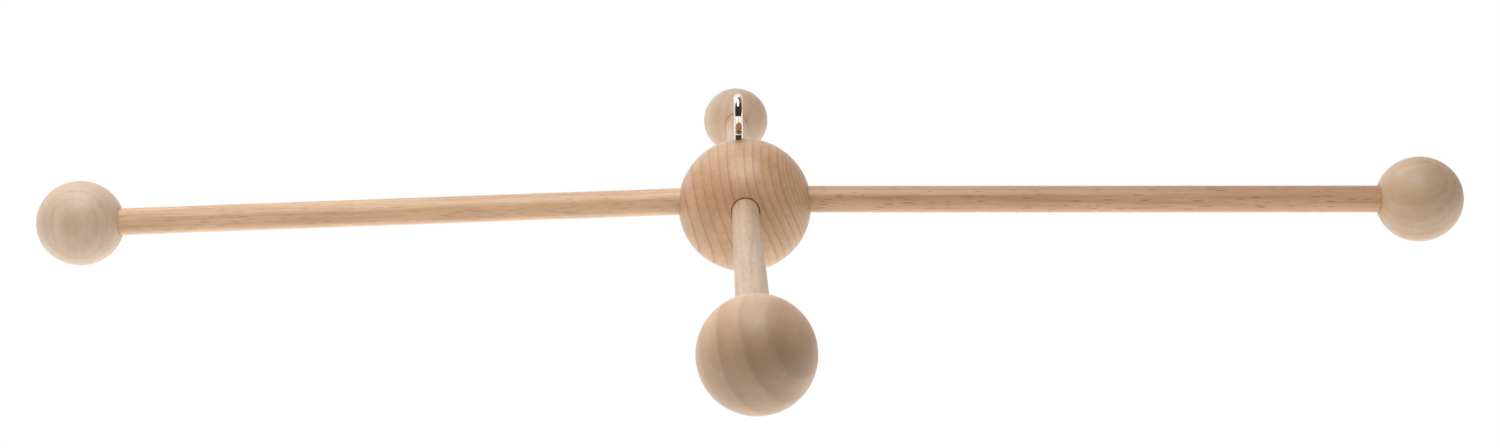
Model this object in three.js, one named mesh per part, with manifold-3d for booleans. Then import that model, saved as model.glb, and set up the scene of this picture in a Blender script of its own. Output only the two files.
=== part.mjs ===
// Wooden mobile hanger: a turned hub ball with four dowel arms, a turned ball on the end of each arm, and a
// steel screw eye in the top of the hub, which it hangs by. Millimetres, +Z up, +X to the right, +Y to the
// back. The origin is the inside crown of the eye's ring, where a hook or a cord bears.

import * as THREE from 'three';
import { mergeVertices } from 'three/addons/utils/BufferGeometryUtils.js';
import Module from 'manifold-3d';

// Turned balls
const hubDiameter = 50;
const endBallDiameter = 31.5;

// Dowel arms
const rodDiameter = 10;
const rodChamfer = 0.8; // on both ends of a rod
const armReach = 249; // hub centre to end ball centre, along the arm
const ballSocketDepth = 12; // how far a rod goes into its end ball
const hubCore = 5.1; // wood left between the floor of a hub socket and the side of the next one
const socketClearance = 0.3; // round a rod
const socketEndGap = 0.6; // between a rod's end and its socket's floor

// Each arm as the hub was drilled by hand. Bearing is in degrees anticlockwise from +X seen from above, droop
// is in degrees below level, rise is how far above the hub's centre the rod's axis starts, and extra is what
// the arm's reach has beyond armReach.
const arms = [
  { name: 'right', bearing: -2.6, droop: 0.3, rise: 2.2, extra: 1.3 },
  { name: 'back', bearing: 90.9, droop: 0, rise: 1.2, extra: 0.3 },
  { name: 'left', bearing: 181.6, droop: 1.1, rise: 2.2, extra: -1.3 },
  { name: 'front', bearing: -89.4, droop: -0.3, rise: 1.2, extra: -0.5 },
];

// Screw eye, bent from one wire
const wireDiameter = 3.2;
const ringBore = 8; // inside diameter of the ring
const neckBend = 1.4; // inside radius where the shank bends into the ring
const ringGap = 0.4; // between the wire's cut end and the neck
const neckHeight = 2.6; // hub surface to the underside of the ring
const eyeOffset = 2; // the eye stands this far to the left of the hub's centre
const smoothShank = 3; // plain wire below the hub surface, above the thread
const threadLength = 10; // below the plain wire, the point included
const threadPitch = 1.6;
const threadDepth = 0.45;
const screwPoint = 3; // length of the tapered point
const pilotClearance = 0.3; // round the shank in the hub's pilot hole

// Facets
const rodSides = 24;
const hubSides = 36;
const ballSides = 28;
const rowShare = 0.64; // a ball's rows as a share of its sides
const wireSides = 10;
const crownSteps = 17; // each side of the ring's crown
const bendSteps = 6;
const rowsPerPitch = 4;

// Derived places
const hubRadius = hubDiameter / 2;
const ballRadius = endBallDiameter / 2;
const rodRadius = rodDiameter / 2;
const wireRadius = wireDiameter / 2;
const ringRadius = ringBore / 2 + wireRadius; // centreline
const bendRadius = neckBend + wireRadius; // centreline
const ringCentreZ = -ringBore / 2;
const hubTopZ = ringCentreZ - ringRadius - wireRadius - neckHeight; // hub surface under the eye
const eyeSeatHeight = Math.sqrt(hubRadius ** 2 - eyeOffset ** 2); // of that surface above the hub centre
const hubCentre = new THREE.Vector3(eyeOffset, 0, hubTopZ - eyeSeatHeight);
const hubSocketFloor = rodRadius + socketClearance + hubCore; // from the hub's axis
const rodInnerEnd = hubSocketFloor + socketEndGap;
const drillStart = 1.2; // a drill starts this many ball radii out, clear of the wood

const wasm = await Module();
wasm.setup();

const hubWood = new THREE.MeshStandardMaterial({ color: 0xbd9468, roughness: 0.55, metalness: 0 });
const ballWood = new THREE.MeshStandardMaterial({ color: 0xc2a484, roughness: 0.6, metalness: 0 });
const dowelWood = new THREE.MeshStandardMaterial({ color: 0xc99c70, roughness: 0.6, metalness: 0 });
const platedSteel = new THREE.MeshStandardMaterial({ color: 0xd9d5cf, roughness: 0.15, metalness: 1 });

// A closed solid for cutting and joining, from a geometry whose shared corners are merged.
function solidOf(geometry) {
  geometry.deleteAttribute('normal');
  geometry.deleteAttribute('uv');
  const merged = mergeVertices(geometry, 1e-4);
  const corners = merged.index.array;
  const kept = [];
  for (let i = 0; i < corners.length; i += 3) {
    const [a, b, c] = corners.slice(i, i + 3);
    if (a !== b && b !== c && c !== a) kept.push(a, b, c);
  }
  return new wasm.Manifold(new wasm.Mesh({
    numProp: 3,
    vertProperties: new Float32Array(merged.attributes.position.array),
    triVerts: new Uint32Array(kept),
  }));
}

// A named mesh of a solid.
function meshOf(solid, name, material) {
  const { vertProperties, triVerts } = solid.getMesh();
  const geometry = new THREE.BufferGeometry();
  geometry.setAttribute('position', new THREE.BufferAttribute(vertProperties, 3));
  geometry.setIndex(new THREE.BufferAttribute(triVerts, 1));
  geometry.computeVertexNormals();
  const mesh = new THREE.Mesh(geometry, material);
  mesh.name = name;
  return mesh;
}

// A turned piece along +X. Its profile of [distance along the axis, radius] starts and ends on the axis.
function turnedAlongX(profile, sides) {
  const points = profile.map(([along, radius]) => new THREE.Vector2(radius, along));
  return new THREE.LatheGeometry(points, sides).rotateZ(-Math.PI / 2);
}

// A drilled hole along +X between two places, whose facets are nowhere nearer its axis than the radius.
function drillAlongX(from, to, radius, sides) {
  const corner = radius / Math.cos(Math.PI / sides);
  return turnedAlongX([[from, 0], [from, corner], [to, corner], [to, 0]], sides);
}

// An arm's frame in the hub's: its +X runs along the rod.
function armMatrix(arm) {
  const turn = new THREE.Matrix4().makeRotationZ(THREE.MathUtils.degToRad(arm.bearing));
  const dip = new THREE.Matrix4().makeRotationY(THREE.MathUtils.degToRad(arm.droop));
  return new THREE.Matrix4().makeTranslation(0, 0, arm.rise).multiply(turn).multiply(dip);
}

// The hub ball, with a blind socket for each rod and a pilot hole for the eye.
function makeHub() {
  const ball = new THREE.SphereGeometry(hubRadius, hubSides, Math.round(hubSides * rowShare));
  let solid = solidOf(ball.rotateX(Math.PI / 2));
  for (const arm of arms) {
    const socket = drillAlongX(hubSocketFloor, hubRadius * drillStart, rodRadius + socketClearance, rodSides);
    solid = solid.subtract(solidOf(socket.applyMatrix4(armMatrix(arm))));
  }
  const pilotFloor = eyeSeatHeight - smoothShank - threadLength - socketEndGap;
  const pilot = drillAlongX(pilotFloor, hubRadius * drillStart, wireRadius + pilotClearance, wireSides);
  solid = solid.subtract(solidOf(pilot.rotateY(-Math.PI / 2).translate(-eyeOffset, 0, 0)));
  return meshOf(solid, 'hub_ball', hubWood);
}

// How far out an arm's end ball is centred, and how far out its rod ends.
const ballCentre = (arm) => armReach + arm.extra;
const rodOuterEnd = (arm) => ballCentre(arm) - ballRadius + ballSocketDepth;

// A dowel rod with chamfered ends, in its arm's frame.
function makeRod(arm) {
  const outerEnd = rodOuterEnd(arm);
  const profile = [
    [rodInnerEnd, 0],
    [rodInnerEnd, rodRadius - rodChamfer],
    [rodInnerEnd + rodChamfer, rodRadius],
    [outerEnd - rodChamfer, rodRadius],
    [outerEnd, rodRadius - rodChamfer],
    [outerEnd, 0],
  ];
  return meshOf(solidOf(turnedAlongX(profile, rodSides)), `arm_rod_${arm.name}`, dowelWood);
}

// An end ball with its blind socket, in its arm's frame.
function makeEndBall(arm) {
  const ball = new THREE.SphereGeometry(ballRadius, ballSides, Math.round(ballSides * rowShare));
  const mouth = -ballRadius * drillStart;
  const floor = ballSocketDepth - ballRadius + socketEndGap;
  const socket = drillAlongX(mouth, floor, rodRadius + socketClearance, rodSides);
  const solid = solidOf(ball.rotateZ(Math.PI / 2)).subtract(solidOf(socket));
  const mesh = meshOf(solid, `end_ball_${arm.name}`, ballWood);
  mesh.position.x = ballCentre(arm);
  return mesh;
}

// Points of an arc in the YZ plane after its first one, with angles anticlockwise from +Y.
function arcPoints(y, z, radius, from, to, steps) {
  const points = [];
  for (let i = 1; i <= steps; i++) {
    const angle = from + (to - from) * i / steps;
    points.push(new THREE.Vector3(0, y + radius * Math.cos(angle), z + radius * Math.sin(angle)));
  }
  return points;
}

// The eye's centreline: up the shank, round the neck bend to the front, over the crown and round the ring
// until the wire's cut end stands a gap away from the neck.
function wirePoints() {
  const reach = ringRadius + bendRadius; // between the centres of the ring and of the bend
  const bendAngle = Math.acos(bendRadius / reach);
  const bendZ = ringCentreZ - reach * Math.sin(bendAngle);
  const ringOutside = ringRadius + wireRadius;
  const neckOutside = bendRadius + wireRadius + ringGap;
  const endCosine = (neckOutside ** 2 - ringOutside ** 2 - reach ** 2) / (2 * ringOutside * reach);
  const endAngle = Math.acos(endCosine) - bendAngle; // of the cut end, below level
  const crown = Math.PI / 2;
  return [
    new THREE.Vector3(0, 0, hubTopZ - smoothShank),
    new THREE.Vector3(0, 0, bendZ),
    ...arcPoints(-bendRadius, bendZ, bendRadius, 0, bendAngle, bendSteps),
    ...arcPoints(0, ringCentreZ, ringRadius, Math.PI + bendAngle, crown, crownSteps),
    ...arcPoints(0, ringCentreZ, ringRadius, crown, -endAngle, crownSteps),
  ];
}

// A path of straight steps through given points. What is swept along it has one section at each point.
class Steps extends THREE.Curve {
  constructor(points) {
    super();
    this.points = points;
  }

  getPoint(t, target = new THREE.Vector3()) {
    const place = t * (this.points.length - 1);
    const i = Math.min(Math.floor(place), this.points.length - 2);
    return target.lerpVectors(this.points[i], this.points[i + 1], place - i);
  }

  getPointAt(u, target) {
    return this.getPoint(u, target);
  }

  getTangent(t, target = new THREE.Vector3()) {
    const half = 0.5 / (this.points.length - 1);
    const ahead = this.getPoint(Math.min(t + half, 1));
    return target.subVectors(ahead, this.getPoint(Math.max(t - half, 0))).normalize();
  }

  getTangentAt(u, target) {
    return this.getTangent(u, target);
  }
}

// The wood thread and its point, below the origin: a turned core whose radius rises and falls along a helix.
function makeThread() {
  const rows = Math.ceil(threadLength / threadPitch * rowsPerPitch);
  const rootRadius = wireRadius - threadDepth;
  const tipRadius = 0.1;
  const overlap = smoothShank / 2; // up into the plain wire
  const profile = [new THREE.Vector2(0, -threadLength)];
  for (let i = 0; i <= rows; i++) profile.push(new THREE.Vector2(rootRadius, threadLength * (i / rows - 1)));
  profile.push(new THREE.Vector2(rootRadius, overlap), new THREE.Vector2(0, overlap));
  const thread = new THREE.LatheGeometry(profile, wireSides).rotateX(Math.PI / 2);
  const place = thread.attributes.position;
  for (let i = 0; i < place.count; i++) {
    const [x, y, z] = [place.getX(i), place.getY(i), place.getZ(i)];
    const radius = Math.hypot(x, y);
    if (radius > tipRadius && z <= 0) {
      const turns = Math.atan2(y, x) / (2 * Math.PI) - z / threadPitch;
      const crest = 0.5 + 0.5 * Math.cos(2 * Math.PI * turns);
      const runOut = Math.min(1, -z / threadPitch); // fades the thread into the plain wire
      const taper = Math.min(1, (z + threadLength) / screwPoint);
      const wanted = Math.max(tipRadius, taper * (rootRadius + threadDepth * crest * runOut));
      place.setXY(i, x * wanted / radius, y * wanted / radius);
    }
  }
  return thread;
}

// The screw eye: the bent wire joined to its thread.
function makeEye() {
  const section = new THREE.Shape();
  for (let i = 0; i < wireSides; i++) {
    const angle = 2 * Math.PI * i / wireSides;
    const corner = [wireRadius * Math.cos(angle), wireRadius * Math.sin(angle)];
    if (i === 0) section.moveTo(...corner);
    else section.lineTo(...corner);
  }
  section.closePath();
  const points = wirePoints();
  const path = { steps: points.length - 1, extrudePath: new Steps(points) };
  const wire = new THREE.ExtrudeGeometry(section, path);
  const thread = makeThread().translate(0, 0, hubTopZ - smoothShank);
  return meshOf(solidOf(wire).add(solidOf(thread)), 'screw_eye', platedSteel);
}

const woodwork = new THREE.Group();
woodwork.position.copy(hubCentre);
woodwork.add(makeHub());
for (const arm of arms) {
  const armGroup = new THREE.Group();
  armGroup.applyMatrix4(armMatrix(arm));
  armGroup.add(makeRod(arm), makeEndBall(arm));
  woodwork.add(armGroup);
}

const hanger = new THREE.Group();
hanger.add(makeEye(), woodwork);

export default hanger;
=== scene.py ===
# Wooden mobile hanger: a turned hub ball, four dowel arms with a turned ball on each tip, and a screw eye
# that it hangs by. Lengths in the dictionaries are in millimetres unless a note says otherwise, and the scene
# is in metres.

from math import acos, cos, pi, radians, sin, sqrt

import bmesh
import bpy
import numpy as np
from mathutils import Matrix, Vector


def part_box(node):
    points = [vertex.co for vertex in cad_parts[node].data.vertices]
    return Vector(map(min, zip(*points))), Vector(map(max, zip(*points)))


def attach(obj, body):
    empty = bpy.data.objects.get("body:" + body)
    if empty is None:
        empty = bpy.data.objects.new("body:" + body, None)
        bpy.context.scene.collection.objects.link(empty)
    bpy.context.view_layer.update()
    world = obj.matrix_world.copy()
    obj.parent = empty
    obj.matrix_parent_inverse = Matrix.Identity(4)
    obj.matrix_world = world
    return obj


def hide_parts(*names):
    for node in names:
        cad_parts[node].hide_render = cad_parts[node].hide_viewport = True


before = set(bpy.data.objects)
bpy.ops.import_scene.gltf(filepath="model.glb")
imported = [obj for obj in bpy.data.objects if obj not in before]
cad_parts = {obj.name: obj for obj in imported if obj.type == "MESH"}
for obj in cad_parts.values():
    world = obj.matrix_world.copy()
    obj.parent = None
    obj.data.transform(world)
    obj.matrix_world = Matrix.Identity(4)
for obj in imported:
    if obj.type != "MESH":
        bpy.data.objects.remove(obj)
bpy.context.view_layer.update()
mm = 0.001
armNames = ("right", "back", "left", "front")
rightAxis = np.array([1.0, 0.0, 0.0])
upAxis = np.array([0.0, 0.0, 1.0])


# Where the pieces are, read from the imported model

def nodePoints(node):
    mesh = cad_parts[node].data
    points = np.empty(len(mesh.vertices) * 3)
    mesh.vertices.foreach_get("co", points)
    return points.reshape(-1, 3)


def unit(vectors):
    return vectors / np.linalg.norm(vectors, axis=-1, keepdims=True)


# A rod's axis is the longest direction of its points through their middle, turned to run outwards.
def rodAxis(node):
    points = nodePoints(node)
    middle = points.mean(axis=0)
    along = np.linalg.svd(points - middle, full_matrices=False)[2][0]
    along *= np.sign(along @ middle)
    reach = (points - middle) @ along
    return {"point": middle, "along": along, "inner": reach.min(), "outer": reach.max()}


# An end ball's middle is one radius short of its farthest point along the rod's axis.
def findArms():
    found = {}
    for name in armNames:
        rod = rodAxis("arm_rod_" + name)
        low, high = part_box("end_ball_" + name)
        radius = (high.z - low.z) / 2
        farPole = ((nodePoints("end_ball_" + name) - rod["point"]) @ rod["along"]).max()
        found[name] = {**rod, "ballRadius": radius, "ballAt": farPole - radius}
    return found


# The hub's middle height comes from its box, and its place in plan is where the rods' axes all but cross.
def findHub(arms):
    low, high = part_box("hub_ball")
    across = np.array([[-arm["along"][1], arm["along"][0]] for arm in arms.values()])
    offsets = np.array([normal @ arm["point"][:2] for normal, arm in zip(across, arms.values())])
    crossing = np.linalg.lstsq(across, offsets, rcond=None)[0]
    centre = np.array([crossing[0], crossing[1], (low.z + high.z) / 2])
    return {"centre": centre, "radius": (high.z - low.z) / 2}


arms = findArms()
hub = findHub(arms)
print("frame: hub centre", np.round(hub["centre"] / mm, 2), "radius", round(hub["radius"] / mm, 2))


# Surfaces

# Rows of points, each a loop round the piece, are joined by quads. A closed end has its row on one point,
# and is joined to the next row by triangles. The faces come as arrays of corner numbers.
def skin(rows, startClosed, endClosed):
    count, sides = rows.shape[:2]
    row, side = np.meshgrid(np.arange(count - 1), np.arange(sides), indexing="ij")
    corner = row * sides + side
    beside = row * sides + (side + 1) % sides
    faces = []
    if startClosed:
        faces.append(np.stack([0 * corner[0], beside[0] + sides, corner[0] + sides], axis=-1))
    if endClosed:
        last = 0 * corner[-1] + (count - 1) * sides
        faces.append(np.stack([corner[-1], beside[-1], last], axis=-1))
    quads = np.stack([corner, beside, beside + sides, corner + sides], axis=-1)
    faces.append(quads[int(startClosed):count - 1 - int(endClosed)].reshape(-1, 4))
    return rows.reshape(-1, 3), faces


mergeReach = 0.0005    # points nearer to each other than this are one


# One closed, smooth-shaded piece from one or more skins, whose shared borders are merged.
def makePiece(name, skins, material, replaced):
    points = np.concatenate([skinPoints for skinPoints, skinFaces in skins])
    faces = []
    offset = 0
    for skinPoints, skinFaces in skins:
        for someFaces in skinFaces:
            faces += (someFaces + offset).tolist()
        offset += len(skinPoints)
    mesh = bpy.data.meshes.new(name)
    mesh.from_pydata(points, [], faces)
    work = bmesh.new()
    work.from_mesh(mesh)
    loose = [vertex for vertex in work.verts if not vertex.link_faces]
    bmesh.ops.delete(work, geom=loose, context="VERTS")
    bmesh.ops.remove_doubles(work, verts=work.verts, dist=mergeReach * mm)
    bmesh.ops.recalc_face_normals(work, faces=work.faces)
    work.to_mesh(mesh)
    work.free()
    mesh.polygons.foreach_set("use_smooth", np.ones(len(mesh.polygons), bool))
    mesh.materials.append(material)
    piece = bpy.data.objects.new(name, mesh)
    bpy.context.scene.collection.objects.link(piece)
    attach(piece, "root")
    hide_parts(replaced)


# Two directions square to an axis. The first leans as near as it can to a given one.
def squareTo(along, nearTo):
    first = unit(nearTo - (nearTo @ along) * along)
    return first, np.cross(along, first)


# A turned surface: circles of the given radii about points on an axis.
def turnedRows(point, along, distances, radii, sides):
    first, second = squareTo(along, upAxis)
    angle = np.linspace(0, 2 * pi, sides, endpoint=False)
    ring = np.cos(angle)[:, None] * first + np.sin(angle)[:, None] * second
    middle = point + distances[:, None] * along
    return middle[:, None, :] + radii[:, None, None] * ring


# The rows on a ball between two loops of directions: each point moves along the great circle from one to the
# other, sin((1 - s) w) / sin(w) of the first plus sin(s w) / sin(w) of the second, w being the angle between.
def ballRows(start, end, steps):
    angle = np.arccos(np.clip((start * end).sum(axis=1), -1, 1))[:, None]
    share = np.linspace(0, 1, steps + 1)[:, None, None]
    return (np.sin((1 - share) * angle) * start + np.sin(share * angle) * end) / np.sin(angle)


# The rows of a drilled socket in a ball, as offsets from the ball's centre: from the middle of the flat floor
# out to the wall, up the wall, and over an eased rim, which is a quadratic curve from a point on the wall by
# way of the sharp rim to a point on the ball.
def socketRows(ballRadius, point, along, first, hole, angle):
    radius, ease = hole["radius"] * mm, hole["ease"] * mm
    second = np.cross(along, first)
    ring = np.cos(angle)[:, None] * first + np.sin(angle)[:, None] * second

    # Where lines along the axis, at a distance from it, leave the ball.
    def onBall(distance):
        foot = point + distance * ring
        inside = (foot @ along) ** 2 - (foot ** 2).sum(axis=1) + ballRadius ** 2
        reach = -(foot @ along) + np.sqrt(inside)
        return foot + reach[:, None] * along

    rim = onBall(radius)
    wall = rim - ease * along
    outside = onBall(radius + ease)
    floor = point + hole["floor"] * along + radius * ring
    middle = np.broadcast_to(point + hole["floor"] * along, floor.shape)
    share = np.linspace(0, 1, hole["easeSteps"] + 1)[:, None, None]
    eased = (1 - share) ** 2 * wall + 2 * share * (1 - share) * rim + share ** 2 * outside
    return np.concatenate([np.stack([middle, floor]), eased])


# Materials

# Small wrappers that keep a node tree readable: each makes one node, sets it up and links its inputs.
class Tree:
    def __init__(self, owner):
        owner.use_nodes = True
        self.nodes = owner.node_tree.nodes
        self.links = owner.node_tree.links
        self.nodes.clear()

    def add(self, kind, inputs=None, **settings):
        node = self.nodes.new(kind)
        for key, value in settings.items():
            setattr(node, key, value)
        for key, value in (inputs or {}).items():
            if isinstance(value, bpy.types.NodeSocket):
                self.links.new(value, node.inputs[key])
            else:
                node.inputs[key].default_value = value
        return node

    def math(self, operation, a, b=0.0, c=0.0, clamp=False):
        inputs = {0: a, 1: b, 2: c}
        return self.add("ShaderNodeMath", inputs, operation=operation, use_clamp=clamp).outputs[0]

    def vector(self, operation, a, b):
        return self.add("ShaderNodeVectorMath", {0: a, 1: b}, operation=operation).outputs[0]

    def noise(self, place, scale, detail, roughness, output="Fac"):
        inputs = {"Vector": place, "Scale": scale, "Detail": detail, "Roughness": roughness}
        return self.add("ShaderNodeTexNoise", inputs).outputs[output]

    def ramp(self, share, stops):
        node = self.add("ShaderNodeValToRGB", {"Fac": share})
        elements = node.color_ramp.elements
        while len(elements) < len(stops):
            elements.new(0.5)
        for element, (position, value) in zip(elements, stops):
            element.position = position
            element.color = (value, value, value, 1)
        return node.outputs["Color"]

    # From nothing at the start of a span to an amount at its end.
    def fadeIn(self, share, span, amount):
        return self.ramp(share, [(span[0], 0.0), (span[1], amount)])

    # Either colour may be a socket, or plain red, green and blue.
    def mix(self, share, a, b):
        first, second = (c if isinstance(c, bpy.types.NodeSocket) else (*c, 1) for c in (a, b))
        return self.add("ShaderNodeMix", {0: share, 6: first, 7: second}, data_type="RGBA").outputs[2]


# Places in millimetres in a frame whose Z runs along the tree's pith and whose X runs from the pith to the
# piece.
def pithPlace(tree, centre, towardsPith, pithAlong, pithDistance):
    inward = unit(np.array(towardsPith, float))
    along = squareTo(inward, np.array(pithAlong, float))[0]
    outward = -inward
    turn = Matrix([outward, np.cross(along, outward), along]).transposed()
    pith = np.array(centre) + inward * pithDistance * mm
    place = tree.add("ShaderNodeTexCoord").outputs["Object"]
    inputs = {"Vector": place, "Location": tuple(pith), "Rotation": turn.to_euler(), "Scale": (mm, mm, mm)}
    return tree.add("ShaderNodeMapping", inputs, vector_type="TEXTURE").outputs["Vector"]


# The layers of tone in every wood: how a noise is stretched (a number below 1 draws it out in that direction,
# and the third is along the fibres), its scale, detail and roughness, and the span of its values in which it
# fades in.
woodLayers = {
    "broad": {"stretch": (1, 1, 0.3), "scale": 0.1, "detail": 2.0, "roughness": 0.5, "span": (0.35, 0.65)},
    "streak": {"stretch": (1, 1, 0.03), "scale": 0.6, "detail": 2.0, "roughness": 0.6, "span": (0.45, 0.7)},
    "fibre": {"stretch": (1, 1, 0.06), "scale": 2.2, "detail": 3.0, "roughness": 0.6, "span": (0.4, 0.72)},
    "curl": {"stretch": (0.3, 0.3, 1.3), "scale": 1.0, "detail": 2.0, "roughness": 0.5, "span": (0.45, 0.7)},
}

woodRings = {
    "bendDetail": 1.0,         # of the noise that bends the rings
    "bendRoughness": 0.4,
    "countFrom": 40,           # keeps the rings' numbers above zero
    "strengthScale": 0.8,      # how quickly the lines' strength changes from ring to ring
    "strengthRange": 1.2,
    "strengthLeast": 0.4,
}

woodSurface = {
    "fleckSharpness": 5.0,     # how steeply a fleck darkens from its edge inwards
    "fleckSpan": (0.5, 0.75),
    "roughnessRange": 0.16,    # between the fibres' dark and pale parts
    "lineHeight": -0.5,        # how far the bump goes in or out at a ring's line, and at a fibre
    "fibreHeight": 0.6,
    "bumpStrength": 0.25,
    "bumpDistance": 0.05,
    "ior": 1.5,
}


# Wood: growth rings are shells about the pith, so the ring a point lies in is its distance from the pith over
# the ring spacing. Noise bends the shells, each ring darkens from its inner side to its outer one, and fibres
# and short dark flecks run along the pith. A tone makes one piece redder, greener or bluer than its look.
def woodMaterial(name, look, centre, grain, tone=(1, 1, 1)):
    material = bpy.data.materials.new(name)
    tree = Tree(material)
    colours = {key: tuple(np.array(look[key]) * tone) for key in ("light", "deep", "line", "fleck")}
    place = pithPlace(tree, centre, grain["towardsPith"], grain["pithAlong"], grain["pithDistance"])

    bent = place
    for scale, amount in ((grain["bendScale"], grain["bend"]), (grain["rippleScale"], grain["ripple"])):
        noise = tree.noise(place, scale, woodRings["bendDetail"], woodRings["bendRoughness"], "Color")
        shift = tree.vector("SUBTRACT", noise, (0.5, 0.5, 0.5))    # the noise is 0.5 on average
        bent = tree.vector("ADD", bent, tree.vector("MULTIPLY", shift, (amount, amount, amount)))
    across = tree.vector("MULTIPLY", bent, (1, 1, 0))
    distance = tree.add("ShaderNodeVectorMath", {0: across}, operation="LENGTH").outputs["Value"]
    rings = tree.math("DIVIDE", tree.math("SUBTRACT", distance, grain["pithDistance"]), grain["spacing"])
    if "narrowing" in grain:
        # The rings nearer to the pith than a given one are narrower.
        beyond = tree.math("MINIMUM", tree.math("ADD", rings, grain["narrowFrom"]), 0.0)
        rings = tree.math("MULTIPLY_ADD", beyond, grain["narrowing"], rings)
    rings = tree.math("ADD", rings, woodRings["countFrom"] + grain["phase"])
    line = tree.ramp(tree.math("FRACT", rings), look["ringStops"])
    inputs = {"W": rings, "Scale": woodRings["strengthScale"], "Detail": 0.0}
    strength = tree.add("ShaderNodeTexNoise", inputs, noise_dimensions="1D").outputs["Fac"]
    strength = tree.math("MULTIPLY_ADD", strength, woodRings["strengthRange"], woodRings["strengthLeast"])
    line = tree.math("MULTIPLY", line, tree.math("MULTIPLY", strength, grain["contrast"]), clamp=True)

    # Where a layer lies, from its own noise.
    def layerNoise(kind):
        layer = woodLayers[kind]
        stretched = tree.vector("MULTIPLY", place, layer["stretch"])
        scale = look.get(kind + "Scale", layer["scale"])
        return tree.noise(stretched, scale, layer["detail"], layer["roughness"])

    # The dark line colour laid over the colour so far, where a layer's noise is high.
    def darken(colour, kind, noise):
        return tree.mix(tree.fadeIn(noise, woodLayers[kind]["span"], look[kind]), colour, colours["line"])

    broad = tree.fadeIn(layerNoise("broad"), woodLayers["broad"]["span"], 1.0)
    fibre = layerNoise("fibre")
    colour = tree.mix(broad, colours["light"], colours["deep"])
    colour = darken(colour, "streak", layerNoise("streak"))
    colour = darken(colour, "fibre", fibre)
    colour = tree.mix(line, colour, colours["line"])
    colour = darken(colour, "curl", layerNoise("curl"))

    # Flecks: a blob in each cell of a pattern drawn out along the fibres, larger in some cells than others.
    fleckPlace = tree.vector("MULTIPLY", bent, (1, 1, look["fleckStretch"]))
    cells = tree.add("ShaderNodeTexVoronoi", {"Vector": fleckPlace, "Scale": look["fleckScale"]})
    size = tree.add("ShaderNodeSeparateColor", {0: cells.outputs["Color"]}).outputs["Red"]
    inside = tree.math("SUBTRACT", tree.math("MULTIPLY", size, look["fleckSize"]), cells.outputs["Distance"])
    edge = tree.math("MULTIPLY_ADD", inside, woodSurface["fleckSharpness"], woodSurface["fleckSpan"][0])
    fleck = tree.fadeIn(edge, woodSurface["fleckSpan"], look["flecks"])
    colour = tree.mix(fleck, colour, colours["fleck"])

    roughnessRange = woodSurface["roughnessRange"]
    rough = tree.math("MULTIPLY_ADD", fibre, roughnessRange, look["roughness"] - roughnessRange / 2)
    fibreHeight = tree.math("MULTIPLY", fibre, woodSurface["fibreHeight"])
    height = tree.math("MULTIPLY_ADD", line, woodSurface["lineHeight"], fibreHeight)
    height = tree.math("SUBTRACT", height, fleck)
    inputs = {"Height": height, "Strength": woodSurface["bumpStrength"],
              "Distance": woodSurface["bumpDistance"] * mm}
    bump = tree.add("ShaderNodeBump", inputs)
    inputs = {"Base Color": colour, "Roughness": rough, "Normal": bump.outputs["Normal"],
              "IOR": woodSurface["ior"], "Specular IOR Level": look["gloss"]}
    shader = tree.add("ShaderNodeBsdfPrincipled", inputs)
    tree.add("ShaderNodeOutputMaterial", {"Surface": shader.outputs["BSDF"]})
    return material


# Plated steel: bright and smooth, with faint drawing marks along the wire.
def steelMaterial(look):
    material = bpy.data.materials.new("platedSteel")
    tree = Tree(material)
    place = tree.add("ShaderNodeTexCoord").outputs["Object"]
    drawn = tree.vector("MULTIPLY", place, (1, 1, look["marksStretch"]))
    marks = tree.noise(drawn, look["marksScale"], detail=3.0, roughness=0.6)
    roughnessRange = look["roughnessRange"]
    rough = tree.math("MULTIPLY_ADD", marks, roughnessRange, look["roughness"] - roughnessRange / 2)
    clouds = tree.noise(place, look["tintScale"], detail=2.0, roughness=0.5)
    tint = tree.mix(clouds, look["light"], look["deep"])
    inputs = {"Height": marks, "Strength": look["bumpStrength"], "Distance": look["bumpDistance"] * mm}
    bump = tree.add("ShaderNodeBump", inputs)
    inputs = {"Base Color": tint, "Roughness": rough, "Metallic": 1.0, "Normal": bump.outputs["Normal"]}
    shader = tree.add("ShaderNodeBsdfPrincipled", inputs)
    tree.add("ShaderNodeOutputMaterial", {"Surface": shader.outputs["BSDF"]})
    return material


# The hub ball

hubBall = {
    "skinGap": 0.02,     # the turned surface lies this far inside the solid's corners
    "seam": 0.28,        # gap round a rod
    "eyeSeam": 0.08,     # gap round the eye's wire
    "ease": 0.15,        # rounding of a hole's rim
    "easeSteps": 5,
    "sides": 144,        # round each hole
    "rows": 30,          # from a hole's rim to the border of its patch
    "look": {
        "light": (0.515, 0.32, 0.174),
        "deep": (0.45, 0.268, 0.138),
        "line": (0.27, 0.12, 0.048),
        "fleck": (0.24, 0.11, 0.05),
        "ringStops": [(0.0, 0.7), (0.05, 0.0), (0.45, 0.04), (0.78, 0.28), (0.93, 1.0), (1.0, 0.7)],
        "fibre": 0.22,
        "streak": 0.18,
        "curl": 0.14,
        "flecks": 0.3,
        "fleckScale": 1.1,
        "fleckSize": 0.25,
        "fleckStretch": 0.2,
        "roughness": 0.42,
        "gloss": 0.5,
    },
    "grain": {
        "towardsPith": (0.97, 0.16, 0.18),
        "pithAlong": (-0.07, 0.90, -0.42),
        "pithDistance": 45,
        "spacing": 3.1,
        "phase": 0.75,       # where in a ring the ball's middle lies
        "narrowFrom": 4.0,   # rings from the ball's middle
        "narrowing": 0.9,    # how much quicker the rings follow each other beyond there
        "contrast": 0.55,
        "bend": 1.6,
        "bendScale": 0.03,
        "ripple": 0.45,
        "rippleScale": 0.35,
    },
}


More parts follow.
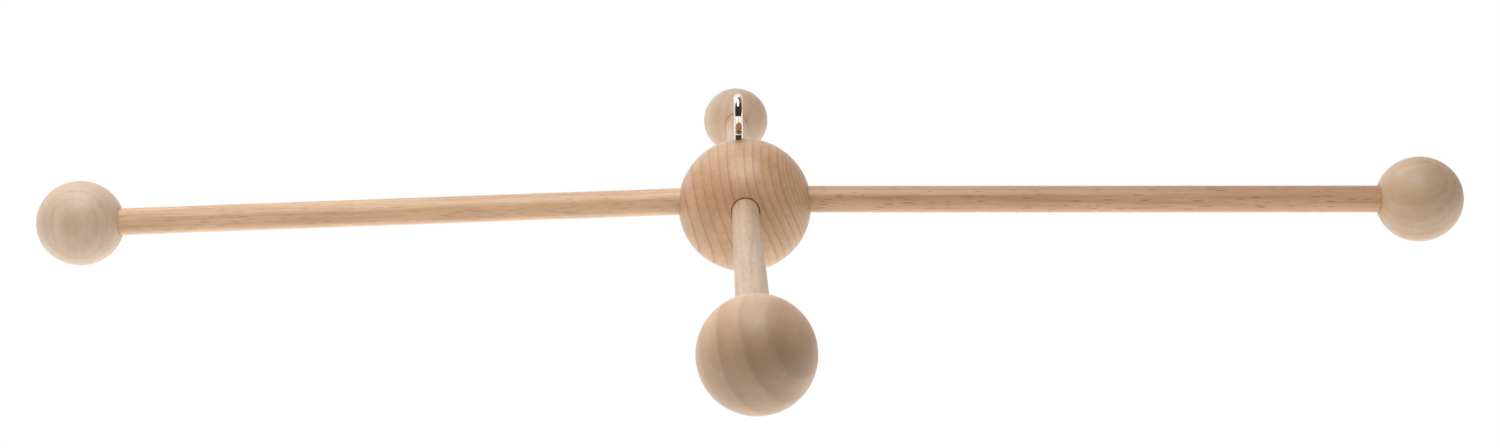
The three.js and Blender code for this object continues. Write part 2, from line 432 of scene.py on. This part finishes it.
# The hub's surface is six patches, one round each axis. A patch is a function of an angle round its hole and
# a share of the way from the hole to the patch's border, and the borders are those of a cube seen from its
# middle.
def makeHubBall(settings, eye):
    centre, radius = hub["centre"], hub["radius"] - settings["skinGap"] * mm
    angle = np.linspace(0, 2 * pi, settings["sides"], endpoint=False)
    square = np.stack([np.cos(angle), np.sin(angle)], axis=1)
    square /= np.abs(square).max(axis=1, keepdims=True)
    skins = []
    axes = [(1, 0, 0), (0, 1, 0), (-1, 0, 0), (0, -1, 0), (0, 0, 1), (0, 0, -1)]
    for axis, holeName in zip(axes, (*armNames, "eye", "none")):
        axis = np.array(axis, float)
        first, second = squareTo(axis, upAxis if axis[2] == 0 else rightAxis)
        border = unit(axis + square[:, :1] * first + square[:, 1:] * second)
        if holeName == "none":
            start = np.broadcast_to(axis, border.shape)
            rows = centre + radius * ballRows(start, border, settings["rows"])
        else:
            hole = {"ease": settings["ease"], "easeSteps": settings["easeSteps"]}
            if holeName == "eye":
                along = upAxis
                point = -centre * (1, 1, 0)    # the eye stands straight below the origin
                hole["radius"] = eye["wireDiameter"] / 2 + settings["eyeSeam"]
                hole["floor"] = radius - eye["shankDepth"] * mm
            else:
                arm = arms[holeName]
                along = arm["along"]
                point = arm["point"] - centre
                hole["radius"] = rods["diameter"] / 2 + settings["seam"]
                hole["floor"] = arm["inner"] - rods["endGap"] * mm
            firstHere = squareTo(along, first)[0]
            socket = socketRows(radius, point, along, firstHere, hole, angle)
            onward = ballRows(unit(socket[-1]), border, settings["rows"])
            rows = centre + np.concatenate([socket, radius * onward[1:]])
        skins.append(skin(rows, True, False))
    material = woodMaterial("hubWood", settings["look"], centre, settings["grain"])
    makePiece("turned_hub", skins, material, "hub_ball")


# The rods

rods = {
    "diameter": 10,
    "chamfer": 0.8,
    "endGap": 0.5,       # between a rod's end and its socket's floor
    "sides": 96,
    "rows": 60,
    "look": {
        "light": (0.575, 0.375, 0.23),
        "deep": (0.525, 0.335, 0.20),
        "line": (0.36, 0.19, 0.10),
        "fleck": (0.20, 0.095, 0.042),
        "ringStops": [(0.0, 0.5), (0.07, 0.0), (0.5, 0.2), (0.92, 1.0), (1.0, 0.5)],
        "fibreScale": 2.4,
        "fibre": 0.4,
        "streak": 0.6,
        "curl": 0.0,
        "fleckScale": 1.6,
        "fleckSize": 0.36,
        "fleckStretch": 0.09,
        "roughness": 0.42,
        "gloss": 0.5,
    },
    "grain": {
        "pithDistance": 60,
        "pithLean": 0.01,    # of the pith from the rod's own direction
        "bend": 1.2,
        "bendScale": 0.03,
        "ripple": 0.2,
        "rippleScale": 0.3,
    },
    # The tree's pith lies up and aside from a rod by these shares. In the right rod the pith lies below, and
    # one wide ring across it makes the rod darker above than below: painted shade, for more light from below
    # on it.
    "each": {
        "right": {
            "tone": (0.914, 0.868, 0.788),
            "flecks": 0.75,      # how dark they are
            # one wide ring, darker above than below: painted shade
            "grain": {"pithUp": -1.0, "pithAside": 0.15, "spacing": 12, "phase": 0.5, "contrast": 0.5},
        },
        "back": {
            "tone": (0.93, 0.95, 0.97),
            "flecks": 0.6,
            "grain": {"pithUp": 0.3, "pithAside": 1.0, "spacing": 2.6, "phase": 0.47, "contrast": 0.3},
        },
        "left": {
            "tone": (1.086, 1.106, 1.05),
            "flecks": 0.4,
            "grain": {"pithUp": 0.3, "pithAside": 1.0, "spacing": 2.6, "phase": 0.84, "contrast": 0.3},
        },
        "front": {
            "tone": (0.82, 0.86, 0.89),
            "flecks": 0.65,
            "grain": {"pithUp": 0.3, "pithAside": 1.0, "spacing": 2.6, "phase": 1.21, "contrast": 0.3},
        },
    },
}


# A dowel is circles along its axis: flat ends, a short cone at each, and between them the full radius.
def makeRod(name, arm, settings):
    radius, chamfer = settings["diameter"] / 2 * mm, settings["chamfer"] * mm
    inner, outer = arm["inner"], arm["outer"]
    middle = np.linspace(inner + chamfer, outer - chamfer, settings["rows"])
    distances = np.concatenate([[inner, inner], middle, [outer, outer]])
    radii = np.concatenate([[0, radius - chamfer], np.full(settings["rows"], radius), [radius - chamfer, 0]])
    rows = turnedRows(arm["point"], arm["along"], distances, radii, settings["sides"])
    own = settings["each"][name]
    look = {**settings["look"], "flecks": own["flecks"]}
    grain = {**settings["grain"], **own["grain"]}
    up, aside = squareTo(arm["along"], upAxis)
    grain["towardsPith"] = grain["pithUp"] * up + grain["pithAside"] * aside
    grain["pithAlong"] = arm["along"] + grain["pithLean"] * up
    material = woodMaterial("dowelWood_" + name, look, arm["point"], grain, own["tone"])
    makePiece("dowel_" + name, [skin(rows, True, True)], material, "arm_rod_" + name)


# The end balls

endBalls = {
    "skinGap": 0.02,     # these are as in the hub ball
    "seam": 0.05,
    "ease": 0.12,
    "easeSteps": 5,
    "sides": 128,
    "rows": 90,
    "look": {
        "light": (0.57, 0.42, 0.30),
        "deep": (0.50, 0.35, 0.24),
        "line": (0.34, 0.21, 0.13),
        "fleck": (0.32, 0.2, 0.12),
        "ringStops": [(0.0, 0.5), (0.07, 0.0), (0.5, 0.2), (0.92, 1.0), (1.0, 0.5)],
        "fibre": 0.14,
        "streak": 0.16,
        "curl": 0.05,
        "flecks": 0.15,
        "fleckScale": 1.2,
        "fleckSize": 0.22,
        "fleckStretch": 0.25,
        "roughness": 0.45,
        "gloss": 0.5,
    },
    "grain": {
        "bend": 4.5,
        "bendScale": 0.05,
        "ripple": 0.5,
        "rippleScale": 0.3,
    },
    "each": {
        "right": {
            "tone": (0.83, 0.785, 0.715),
            "towardsPith": (-0.36, -0.74, 0.57),
            "pithAlong": (1, 0.2, 0),
            "pithDistance": 150,
            "spacing": 3.6,
            "phase": 0.3,
            "contrast": 0.17,
        },
        "back": {
            "tone": (0.93, 0.91, 0.89),
            "towardsPith": (-0.9, 0.3, 0.1),
            "pithAlong": (0.1, 0.3, 1),
            "pithDistance": 45,
            "spacing": 4.6,
            "phase": 0.2,
            "contrast": 0.15,
        },
        "left": {
            "tone": (0.995, 1.0, 1.005),
            "towardsPith": (0.15, -0.98, 0.08),
            "pithAlong": (0, 0.1, 1),
            "pithDistance": 150,
            "spacing": 3.1,
            "phase": 0.02,
            "contrast": 0.18,
        },
        "front": {
            "tone": (0.87, 0.785, 0.68),
            "towardsPith": (0.785, -0.37, 0.5),
            "pithAlong": (0.1, 1, 0.4),
            "pithDistance": 45,
            "spacing": 6.6,
            "phase": 0.53,
            "contrast": 0.42,
        },
    },
}


# An end ball is its socket and then circles over the ball to the pole at the arm's far end.
def makeEndBall(name, arm, settings):
    radius = arm["ballRadius"] - settings["skinGap"] * mm
    inward = -arm["along"]
    centre = arm["point"] + arm["ballAt"] * arm["along"]
    angle = np.linspace(0, 2 * pi, settings["sides"], endpoint=False)
    hole = {
        "radius": rods["diameter"] / 2 + settings["seam"],
        "ease": settings["ease"],
        "easeSteps": settings["easeSteps"],
        "floor": arm["ballAt"] - arm["outer"] - rods["endGap"] * mm,
    }
    first = squareTo(inward, upAxis)[0]
    socket = socketRows(radius, np.zeros(3), inward, first, hole, angle)
    farPole = np.broadcast_to(arm["along"], socket[-1].shape)
    onward = ballRows(unit(socket[-1]), farPole, settings["rows"])
    rows = centre + np.concatenate([socket, radius * onward[1:]])
    own = settings["each"][name]
    grain = {**settings["grain"], **own}
    material = woodMaterial("ballWood_" + name, settings["look"], centre, grain, own["tone"])
    makePiece("turned_ball_" + name, [skin(rows, True, True)], material, "end_ball_" + name)


# The screw eye

screwEye = {
    "wireDiameter": 3.2,
    "ringBore": 8,
    "neckBend": 1.4,     # inside radius where the shank bends into the ring
    "ringGap": 0.4,      # between the wire's cut end and the neck
    "smoothShank": 3,    # plain wire below the hub surface
    "threadLength": 10,
    "threadPitch": 1.6,
    "threadDepth": 0.45,
    "crestShape": 1.5,   # power of the thread's wave: above 1, crests are narrower than the roots
    "runOut": 0.3,       # share of a pitch over which the plain wire passes into the thread
    "screwPoint": 3,
    "pointShape": 0.8,   # power of the point's taper: below 1, it is rounder than a cone
    "shankDepth": 14,    # of the pilot hole
    "endRound": 0.35,    # rounding of the wire's cut end
    "sides": 48,
    "arcStep": 3,        # degrees between sections round the ring
    "threadRows": 14,    # in each turn of the thread
    "shankRows": 12,
    "endRows": 6,        # over the rounding of the cut end
    "look": {
        "light": (0.63, 0.575, 0.51),
        "deep": (0.58, 0.52, 0.45),
        "tintScale": 180,
        "roughness": 0.05,
        "roughnessRange": 0.04,
        "marksScale": 1600,
        "marksStretch": 0.15,    # below 1 draws the marks out upwards
        "bumpStrength": 0.08,
        "bumpDistance": 0.02,
    },
}


# Points and directions of an arc in the YZ plane.
def arc(centreY, centreZ, radius, start, end, step):
    count = max(2, int(round(abs(end - start) / radians(step))))
    angle = np.linspace(start, end, count + 1)
    across, upwards = centreY + radius * np.cos(angle), centreZ + radius * np.sin(angle)
    points = np.stack([0 * angle, across, upwards], axis=1)
    turn = np.sign(end - start)
    along = np.stack([0 * angle, -turn * np.sin(angle), turn * np.cos(angle)], axis=1)
    return points, along


# The eye is a circle carried along its wire. Below the plain shank the circle's radius is that of the
# thread's root plus the thread's depth times a power of the wave (1 + cos t) / 2, where t is the angle round
# the wire plus a full turn for each pitch below the shank. It shrinks to nothing at the point.
def makeScrewEye(settings):
    wire = settings["wireDiameter"] / 2
    pitch, depth = settings["threadPitch"], settings["threadDepth"]
    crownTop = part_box("screw_eye")[1].z / mm
    ringRadius = settings["ringBore"] / 2 + wire
    ringZ = crownTop - wire - ringRadius
    bend = settings["neckBend"] + wire
    reach = ringRadius + bend
    bendAngle = acos(bend / reach)
    bendZ = ringZ - reach * sin(bendAngle)
    outside = ringRadius + wire
    neckOutside = bend + wire + settings["ringGap"]
    endAngle = acos((neckOutside ** 2 - outside ** 2 - reach ** 2) / (2 * outside * reach)) - bendAngle
    hubTop = (hub["centre"][2] + sqrt(hub["radius"] ** 2 - hub["centre"][0] ** 2)) / mm
    threadTop = hubTop - settings["smoothShank"]
    tip = threadTop - settings["threadLength"]

    rowCount = int(settings["threadLength"] / pitch * settings["threadRows"])
    height = np.linspace(tip, threadTop, rowCount)
    straight = np.concatenate([height, np.linspace(threadTop, bendZ, settings["shankRows"])[1:]])
    straightPoints = np.stack([0 * straight, 0 * straight, straight], axis=1)
    straightAlong = np.broadcast_to(upAxis, straightPoints.shape)
    # The shank bends forwards round a small arc, which meets the ring's circle where both run the same way.
    # The ring then goes up the front, over the crown and down the back, to its cut end beside the neck.
    neckPoints, neckAlong = arc(-bend, bendZ, bend, 0, bendAngle, settings["arcStep"])
    rounding = settings["endRound"]
    ringEnd = rounding / ringRadius - endAngle
    ringPoints, ringAlong = arc(0, ringZ, ringRadius, pi + bendAngle, ringEnd, settings["arcStep"])
    points = np.concatenate([straightPoints, neckPoints[1:], ringPoints[1:]])
    along = np.concatenate([straightAlong, neckAlong[1:], ringAlong[1:]])

    angle = np.linspace(0, 2 * pi, settings["sides"], endpoint=False)
    radii = np.full((len(points), settings["sides"]), wire)
    down = (threadTop - height)[:, None]
    wave = 0.5 + 0.5 * np.cos(angle[None] + 2 * pi * down / pitch)
    crest = wave ** settings["crestShape"] * np.minimum(1, down / pitch)
    plain = np.minimum(1, np.exp(-down / (settings["runOut"] * pitch)))
    taper = np.clip((height - tip) / settings["screwPoint"], 0, 1)[:, None] ** settings["pointShape"]
    radii[:rowCount] = (wire - depth + depth * np.maximum(crest, plain)) * taper
    # The cut end is rounded over: the last sections shrink along a quarter circle.
    share = np.linspace(0, pi / 2, settings["endRows"] + 1)[1:]
    endPoints = points[-1] + np.sin(share)[:, None] * rounding * along[-1]
    endRadii = np.append(wire - rounding + rounding * np.cos(share), 0)
    points = np.concatenate([points, endPoints, endPoints[-1:]])
    along = np.concatenate([along, np.broadcast_to(along[-1], (len(endRadii), 3))])
    radii = np.concatenate([radii, np.broadcast_to(endRadii[:, None], (len(endRadii), settings["sides"]))])

    side = np.cross(along, rightAxis)
    ring = np.cos(angle)[None, :, None] * rightAxis + np.sin(angle)[None, :, None] * side[:, None, :]
    rows = (points[:, None, :] + radii[:, :, None] * ring) * mm
    material = steelMaterial(settings["look"])
    makePiece("bent_eye", [skin(rows, True, True)], material, "screw_eye")


makeHubBall(hubBall, screwEye)
print("hub ball made")
for armName, armFound in arms.items():
    makeRod(armName, armFound, rods)
    makeEndBall(armName, armFound, endBalls)
print("arms made")
makeScrewEye(screwEye)
print("screw eye made")


# Studio

studio = {
    "floorDrop": 2,          # metres below the hub's centre, so that the hanger is also seen from below
    "floorSize": 240,        # metres
    "floorGlow": (1.26, 0.88),    # the floor's own glow, with no lamp beneath it, lights the hanger from below: so much in front and so much far behind
    "floorFade": (1.2, 5.2),      # metres behind the middle, from where to where it changes
    "floorColour": (0.9, 0.9, 0.9),
    "sheetRoughness": 0.9,
    "base": 0.18,            # brightness of the surroundings on every side
    "lobes": [               # bright sides of the surroundings: direction, brightness, sharpness
        ((-0.87, 0.5, 0), 0.38, 3),
        ((-0.3, 0.95, 0), 1.06, 1),
    ],
    # Oval softboxes: watts, size across and deep, place from the hub in metres, whether one lights the wood,
    # and whether it shows as a gleam.
    "softboxes": [
        {"watts": 7.5, "size": (0.72, 0.9), "place": (-0.03, -0.27, 0.93), "lights": True, "gleams": True},
        {"watts": 5.0, "size": (0.72, 0.9), "place": (-0.03, -0.27, 0.93), "lights": False, "gleams": True},
        {"watts": 3.3, "size": (0.5, 0.5), "place": (-0.6, -0.35, 0.7), "lights": True, "gleams": False},
        {"watts": 3.6, "size": (1.6, 0.5), "place": (-0.3, 0.45, 0.8), "lights": False, "gleams": True},
    ],
    "cardDistance": 0.62,    # dark card before the camera, metres in front of the hub
    "cardReach": (0.32, 0.32, 0.3),    # its half width, and how far it reaches below and above the hub
    "cardColour": (0.02, 0.02, 0.02),
    "hoodRadius": 1.6,       # metres
    "hoodAngles": (86, -11.5, 60),    # how far round, its front edge's and its back edge's elevation, degrees
    "hoodSteps": (32, 24),   # round and over
    "hoodColour": (0.035, 0.024, 0.02),
}


# A sheet of the studio: an open grid of points, with plain matt paint that may glow.
def studioSheet(name, rows, colour, glow=None, fade=None):
    rows = np.asarray(rows, float)
    count, sides = rows.shape[:2]
    corner = (np.arange(count - 1)[:, None] * sides + np.arange(sides - 1)).ravel()
    faces = np.stack([corner, corner + 1, corner + sides + 1, corner + sides], axis=-1)
    mesh = bpy.data.meshes.new(name)
    mesh.from_pydata(rows.reshape(-1, 3), [], faces.tolist())
    piece = bpy.data.objects.new(name, mesh)
    bpy.context.scene.collection.objects.link(piece)
    material = bpy.data.materials.new(name + "Paint")
    tree = Tree(material)
    inputs = {"Base Color": (*colour, 1), "Roughness": studio["sheetRoughness"]}
    if glow:
        place = tree.add("ShaderNodeSeparateXYZ", {0: tree.add("ShaderNodeTexCoord").outputs["Object"]})
        fading = {"Value": place.outputs["Y"], 1: fade[0], 2: fade[1], 3: glow[0], 4: glow[1]}
        strength = tree.add("ShaderNodeMapRange", fading, interpolation_type="SMOOTHSTEP").outputs["Result"]
        inputs.update({"Emission Color": (1, 1, 1, 1), "Emission Strength": strength})
    surface = tree.add("ShaderNodeBsdfPrincipled", inputs).outputs["BSDF"]
    if glow:
        # Seen directly, the sheet is plain white, so that it doesn't shine over the edges of the pieces.
        direct = tree.add("ShaderNodeLightPath").outputs["Is Camera Ray"]
        white = tree.add("ShaderNodeEmission").outputs["Emission"]
        surface = tree.add("ShaderNodeMixShader", {0: direct, 1: surface, 2: white}).outputs["Shader"]
    tree.add("ShaderNodeOutputMaterial", {"Surface": surface})
    mesh.materials.append(material)
    return piece


# The dark room in front and overhead, which only reflections see: a part of a ball, whose rows run from an
# edge low in front, over the top, to an edge high behind.
def makeHood(settings):
    reach, low, high = (radians(degrees) for degrees in settings["hoodAngles"])
    stepsRound, stepsOver = settings["hoodSteps"]
    around = np.linspace(-reach, reach, stepsRound + 1)
    front = np.stack([np.sin(around) * cos(low), -np.cos(around) * cos(low), 0 * around + sin(low)], axis=1)
    back = np.stack([np.sin(around) * cos(high), np.cos(around) * cos(high), 0 * around + sin(high)], axis=1)
    rows = settings["hoodRadius"] * ballRows(front, back, stepsOver)
    hood = studioSheet("hood", rows, settings["hoodColour"])
    hood.visible_camera = hood.visible_diffuse = hood.visible_shadow = False


def makeStudio(settings):
    x, y, z = hub["centre"]
    half, floorZ = settings["floorSize"] / 2, z - settings["floorDrop"]
    floor = [[(-half, -half, floorZ), (half, -half, floorZ)], [(-half, half, floorZ), (half, half, floorZ)]]
    studioSheet("floor", floor, settings["floorColour"], settings["floorGlow"], settings["floorFade"])
    wide, down, up = settings["cardReach"]
    cardY = y - settings["cardDistance"]
    card = [[(x + wide, cardY, z - down), (x - wide, cardY, z - down)],
            [(x + wide, cardY, z + up), (x - wide, cardY, z + up)]]
    card = studioSheet("card", card, settings["cardColour"])
    card.visible_camera = card.visible_glossy = False
    makeHood(settings)

    world = bpy.data.worlds.new("studio")
    bpy.context.scene.world = world
    tree = Tree(world)
    direction = tree.add("ShaderNodeTexCoord").outputs["Generated"]
    brightness = settings["base"]
    for middle, amount, sharpness in settings["lobes"]:
        inputs = {0: direction, 1: middle}
        towards = tree.add("ShaderNodeVectorMath", inputs, operation="DOT_PRODUCT").outputs["Value"]
        share = tree.math("POWER", tree.math("MAXIMUM", towards, 0.0), sharpness)
        brightness = tree.math("MULTIPLY_ADD", share, amount, brightness)
    # Seen directly, the surroundings are plain white.
    direct = tree.add("ShaderNodeLightPath").outputs["Is Camera Ray"]
    seen = tree.math("MULTIPLY_ADD", direct, tree.math("SUBTRACT", 1.0, brightness), brightness)
    background = tree.add("ShaderNodeBackground", {"Color": (1, 1, 1, 1), "Strength": seen})
    tree.add("ShaderNodeOutputWorld", {"Surface": background.outputs["Background"]})

    for box in settings["softboxes"]:
        light = bpy.data.lights.new("softbox", "AREA")
        light.energy = box["watts"]
        light.shape = "ELLIPSE"
        light.size, light.size_y = box["size"]
        lamp = bpy.data.objects.new("softbox", light)
        place = Vector(box["place"])
        lamp.location = Vector(hub["centre"]) + place
        lamp.rotation_euler = place.to_track_quat("Z", "Y").to_euler()
        lamp.visible_camera = False
        lamp.visible_diffuse, lamp.visible_glossy = box["lights"], box["gleams"]
        bpy.context.scene.collection.objects.link(lamp)

    view = bpy.context.scene.view_settings
    view.view_transform = "Standard"
    view.look = "None"


# The camera looks at the hub from the front and a little above, then is panned, tilted and rolled by small
# angles in degrees.
cameraSettings = {
    "lens": 48.84,
    "sensor": 36,
    "nearest": 10,       # nothing nearer to the camera than this is seen
    "distance": 765.45,
    "elevation": 9.45,
    "pan": -0.14,
    "tilt": -0.54,
    "roll": 0.73,
}


def makeCamera(settings):
    elevation = radians(settings["elevation"])
    away = Vector((0, -cos(elevation), sin(elevation)))
    forward, right = -away, Vector((1, 0, 0))
    up = right.cross(forward)
    pan = Matrix.Rotation(radians(settings["pan"]), 3, up)
    right, forward = pan @ right, pan @ forward
    tilt = Matrix.Rotation(radians(settings["tilt"]), 3, right)
    up, forward = tilt @ up, tilt @ forward
    roll = Matrix.Rotation(radians(settings["roll"]), 3, forward)
    right, up = roll @ right, roll @ up
    data = bpy.data.cameras.new("camera")
    data.lens = settings["lens"]
    data.sensor_width = settings["sensor"]
    data.clip_start = settings["nearest"] * mm
    camera = bpy.data.objects.new("camera", data)
    place = Vector(hub["centre"]) + away * settings["distance"] * mm
    camera.matrix_world = Matrix.Translation(place) @ Matrix((right, up, -forward)).transposed().to_4x4()
    bpy.context.scene.collection.objects.link(camera)
    bpy.context.scene.camera = camera


makeStudio(studio)
makeCamera(cameraSettings)
print("studio and camera made")

bpy.context.view_layer.update()
